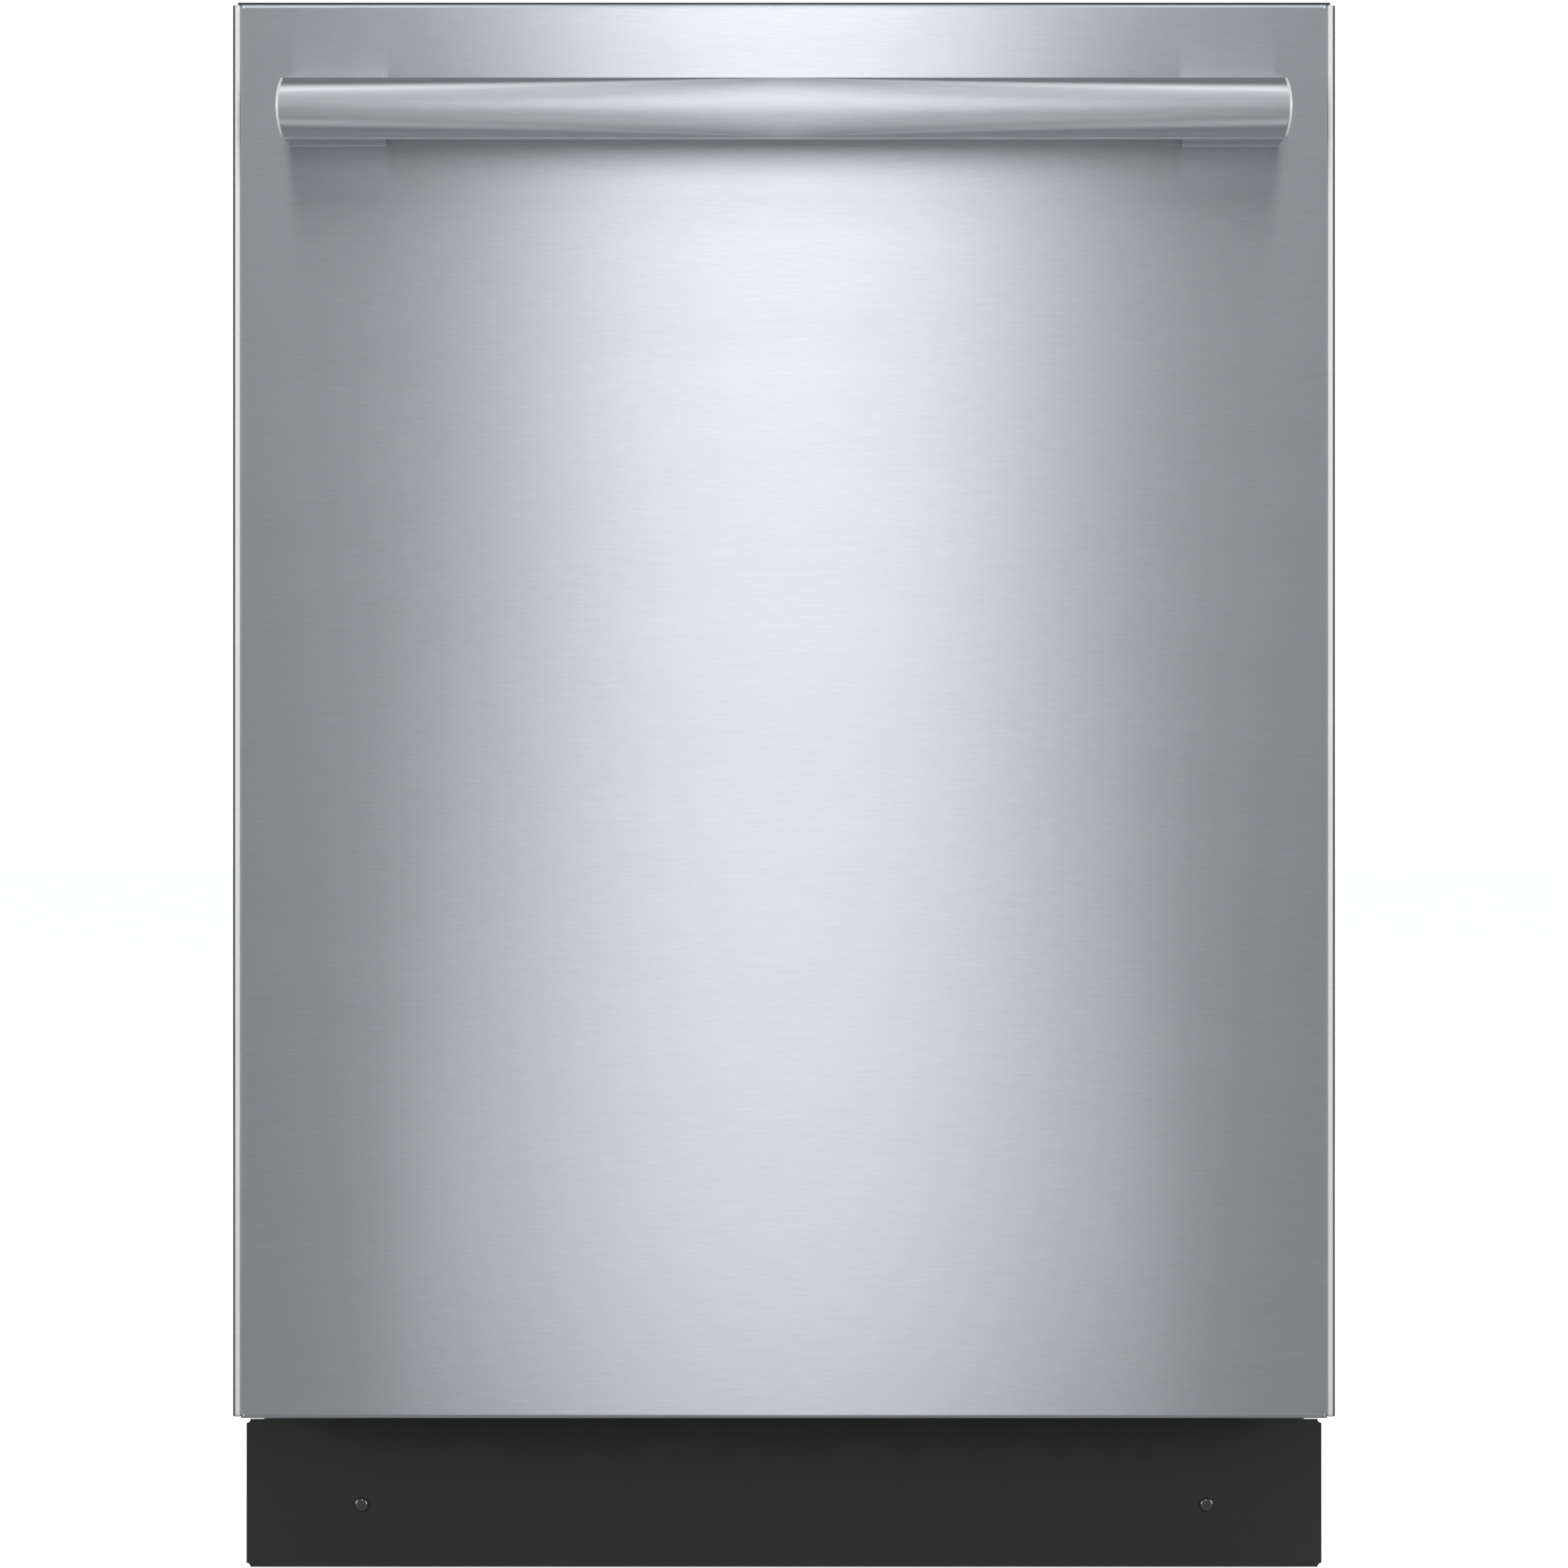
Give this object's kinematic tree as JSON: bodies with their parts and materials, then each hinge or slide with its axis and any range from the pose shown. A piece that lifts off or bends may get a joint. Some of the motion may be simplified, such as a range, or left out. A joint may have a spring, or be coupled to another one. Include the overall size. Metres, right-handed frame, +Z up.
{
  "type": "built-in dishwasher",
  "caption": "Built-in dishwasher with a brushed steel drop-down door, bar handle, recessed black toe kick, steel tub, sliding racks and spray arms.",
  "frame": {"origin": "centre of the bounding box on the floor", "axes": "+X to the right seen from the front, +Y from the front to the back, +Z up"},
  "size_m": [0.5986, 0.655, 0.86],
  "materials": {
    "brushed_steel": "horizontally brushed",
    "bright_trim": "polished",
    "tub_steel": "satin",
    "galvanised": "galvanised, matt",
    "rail_steel": "zinc plated",
    "spring_steel": "oiled",
    "black_console": "semi-gloss",
    "black_key": "matt",
    "display_glass": "gloss",
    "black_paint": "matt, fine texture",
    "black_screw": "gloss black",
    "rack_coat": "nylon coated",
    "grey_plastic": "moulded",
    "wheel_plastic": "moulded",
    "dispenser_plastic": "moulded",
    "blue_plastic": "moulded",
    "white_plastic": "moulded",
    "pump_plastic": "moulded",
    "impeller_plastic": "moulded",
    "foot_plastic": "moulded",
    "rubber": "matt",
    "felt": "pressed felt"
  },
  "bodies": {
    "cabinet": {"base_pan": "galvanised", "toe_kick": "black_paint", "toe_kick_screws": "black_screw", "uprights": "galvanised", "hinge_brackets": "galvanised", "door_springs": "spring_steel", "tub": "tub_steel", "tub_gasket": "rubber", "sound_blanket": "felt", "countertop_brackets": "galvanised", "sump": "grey_plastic", "filter_plate": "tub_steel", "spray_feed": "grey_plastic", "wash_pump": "pump_plastic", "drain_pump": "pump_plastic", "drain_line": "rubber", "inlet_valve": "white_plastic", "terminal_box": "pump_plastic", "fixed_rails": "rail_steel", "latch_strike": "rail_steel"},
    "front_feet": {"front_feet": "foot_plastic"},
    "rear_feet": {"rear_feet": "foot_plastic"},
    "filter_cup": {"filter_cup": "grey_plastic"},
    "wash_impeller": {"wash_impeller": "impeller_plastic"},
    "drain_impeller": {"drain_impeller": "impeller_plastic"},
    "float": {"float": "white_plastic"},
    "door": {"door_panel": "brushed_steel", "door_edge_trims": "bright_trim", "control_panel": "black_console", "door_liner": "tub_steel", "door_blanket": "felt", "display_window": "display_glass", "handle_bar": "brushed_steel", "handle_end_caps": "bright_trim", "handle_posts": "brushed_steel", "hinge_arms": "galvanised", "dispenser_body": "dispenser_plastic"},
    "door_latch": {"door_latch": "rail_steel"},
    "button_power": {"button_power": "black_key"},
    "button_auto": {"button_auto": "black_key"},
    "button_heavy": {"button_heavy": "black_key"},
    "button_quick": {"button_quick": "black_key"},
    "button_start": {"button_start": "black_key"},
    "detergent_lid": {"detergent_lid": "dispenser_plastic"},
    "rinse_cap": {"rinse_cap": "dispenser_plastic"},
    "release_button": {"release_button": "blue_plastic"},
    "lower_rack": {"lower_rack": "rack_coat", "wheel_carriers": "grey_plastic"},
    "wheel_front_left": {"wheel_front_left": "wheel_plastic"},
    "wheel_front_right": {"wheel_front_right": "wheel_plastic"},
    "wheel_rear_left": {"wheel_rear_left": "wheel_plastic"},
    "wheel_rear_right": {"wheel_rear_right": "wheel_plastic"},
    "tine_row": {"tine_row": "rack_coat"},
    "silverware_basket": {"silverware_basket": "grey_plastic"},
    "lower_spray_arm": {"lower_spray_arm": "grey_plastic"},
    "upper_rack": {"upper_rack": "rack_coat", "rail_inners": "rail_steel"},
    "rail_middles": {"rail_middles": "rail_steel"},
    "upper_spray_arm": {"upper_spray_arm": "grey_plastic"},
    "cutlery_tray": {"cutlery_tray": "grey_plastic"}
  },
  "joints": [
    {"name": "door_hinge", "type": "hinge", "parent": "cabinet", "child": "door", "pos_m": [0, -0.2355, 0.112], "axis": [1, 0, 0], "range_deg": [0, 90], "stiffness_Nm_per_rad": 30},
    {"name": "front_feet_height", "type": "slide", "parent": "cabinet", "child": "front_feet", "axis": [0, 0, -1], "range_m": [0, 0.02]},
    {"name": "rear_feet_height", "type": "slide", "parent": "cabinet", "child": "rear_feet", "axis": [0, 0, -1], "range_m": [0, 0.02]},
    {"name": "filter_twist", "type": "hinge", "parent": "cabinet", "child": "filter_cup", "pos_m": [0, -0.04, 0.1], "axis": [0, 0, 1], "range_deg": [0, 90]},
    {"name": "wash_impeller_spin", "type": "hinge", "parent": "cabinet", "child": "wash_impeller", "pos_m": [0.11, -0.04, 0.084], "axis": [1, 0, 0], "continuous": true},
    {"name": "drain_impeller_spin", "type": "hinge", "parent": "cabinet", "child": "drain_impeller", "pos_m": [-0.105, -0.04, 0.084], "axis": [1, 0, 0], "continuous": true},
    {"name": "float_lift", "type": "slide", "parent": "cabinet", "child": "float", "axis": [0, 0, 1], "range_m": [0, 0.008]},
    {"name": "latch_rock", "type": "hinge", "parent": "door", "child": "door_latch", "pos_m": [0, -0.2355, 0.8548], "axis": [1, 0, 0], "range_deg": [0, 6], "stiffness_Nm_per_rad": 0.5, "springref_deg": -5.73},
    {"name": "detergent_lid_slide", "type": "slide", "parent": "door", "child": "detergent_lid", "axis": [0, 0, 1], "range_m": [0, 0.1]},
    {"name": "rinse_cap_turn", "type": "hinge", "parent": "door", "child": "rinse_cap", "pos_m": [0.052, -0.205, 0.54], "axis": [0, -1, 0], "range_deg": [0, 90]},
    {"name": "release_button_press", "type": "slide", "parent": "door", "child": "release_button", "axis": [0, -1, 0], "range_m": [0, 0.003], "stiffness_N_per_m": 400},
    {"name": "lower_rack_roll", "type": "slide", "parent": "cabinet", "child": "lower_rack", "axis": [0, -1, 0], "range_m": [0, 0.14]},
    {"name": "tine_row_fold", "type": "hinge", "parent": "lower_rack", "child": "tine_row", "pos_m": [0, 0.04, 0.1812], "axis": [1, 0, 0], "range_deg": [0, 85]},
    {"name": "silverware_lift", "type": "slide", "parent": "lower_rack", "child": "silverware_basket", "axis": [0, 0, 1], "range_m": [0, 0.12]},
    {"name": "lower_arm_spin", "type": "hinge", "parent": "cabinet", "child": "lower_spray_arm", "pos_m": [0, 0.048, 0.15], "axis": [0, 0, 1], "continuous": true},
    {"name": "upper_rack_slide", "type": "slide", "parent": "cabinet", "child": "upper_rack", "axis": [0, -1, 0], "range_m": [0, 0.44]},
    {"name": "rail_middles_slide", "type": "slide", "parent": "cabinet", "child": "rail_middles", "axis": [0, -1, 0], "range_m": [0, 0.22]},
    {"name": "upper_arm_spin", "type": "hinge", "parent": "upper_rack", "child": "upper_spray_arm", "pos_m": [0, 0.048, 0.46], "axis": [0, 0, 1], "continuous": true},
    {"name": "cutlery_tray_slide", "type": "slide", "parent": "cabinet", "child": "cutlery_tray", "axis": [0, -1, 0], "range_m": [0, 0.4]},
    {"name": "button_power_press", "type": "slide", "parent": "door", "child": "button_power", "axis": [0, 0, -1], "range_m": [0, 0.0012], "stiffness_N_per_m": 400},
    {"name": "button_auto_press", "type": "slide", "parent": "door", "child": "button_auto", "axis": [0, 0, -1], "range_m": [0, 0.0012], "stiffness_N_per_m": 400},
    {"name": "button_heavy_press", "type": "slide", "parent": "door", "child": "button_heavy", "axis": [0, 0, -1], "range_m": [0, 0.0012], "stiffness_N_per_m": 400},
    {"name": "button_quick_press", "type": "slide", "parent": "door", "child": "button_quick", "axis": [0, 0, -1], "range_m": [0, 0.0012], "stiffness_N_per_m": 400},
    {"name": "button_start_press", "type": "slide", "parent": "door", "child": "button_start", "axis": [0, 0, -1], "range_m": [0, 0.0012], "stiffness_N_per_m": 400},
    {"name": "wheel_front_left_spin", "type": "hinge", "parent": "lower_rack", "child": "wheel_front_left", "pos_m": [-0.25, -0.1015, 0.161], "axis": [1, 0, 0], "continuous": true},
    {"name": "wheel_front_right_spin", "type": "hinge", "parent": "lower_rack", "child": "wheel_front_right", "pos_m": [0.25, -0.1015, 0.161], "axis": [1, 0, 0], "continuous": true},
    {"name": "wheel_rear_left_spin", "type": "hinge", "parent": "lower_rack", "child": "wheel_rear_left", "pos_m": [-0.25, 0.19, 0.161], "axis": [1, 0, 0], "continuous": true},
    {"name": "wheel_rear_right_spin", "type": "hinge", "parent": "lower_rack", "child": "wheel_rear_right", "pos_m": [0.25, 0.19, 0.161], "axis": [1, 0, 0], "continuous": true}
  ],
  "couplings": [
    {"joint": "lower_rack_roll", "follows": "door_hinge", "m_per_rad": 0.089127},
    {"joint": "upper_rack_slide", "follows": "door_hinge", "m_per_rad": 0.28011},
    {"joint": "rail_middles_slide", "follows": "door_hinge", "m_per_rad": 0.14006},
    {"joint": "cutlery_tray_slide", "follows": "door_hinge", "m_per_rad": 0.25465},
    {"joint": "wheel_front_left_spin", "follows": "door_hinge", "ratio": 4.9515},
    {"joint": "wheel_front_right_spin", "follows": "door_hinge", "ratio": 4.9515},
    {"joint": "wheel_rear_left_spin", "follows": "door_hinge", "ratio": 4.9515},
    {"joint": "wheel_rear_right_spin", "follows": "door_hinge", "ratio": 4.9515}
  ]
}
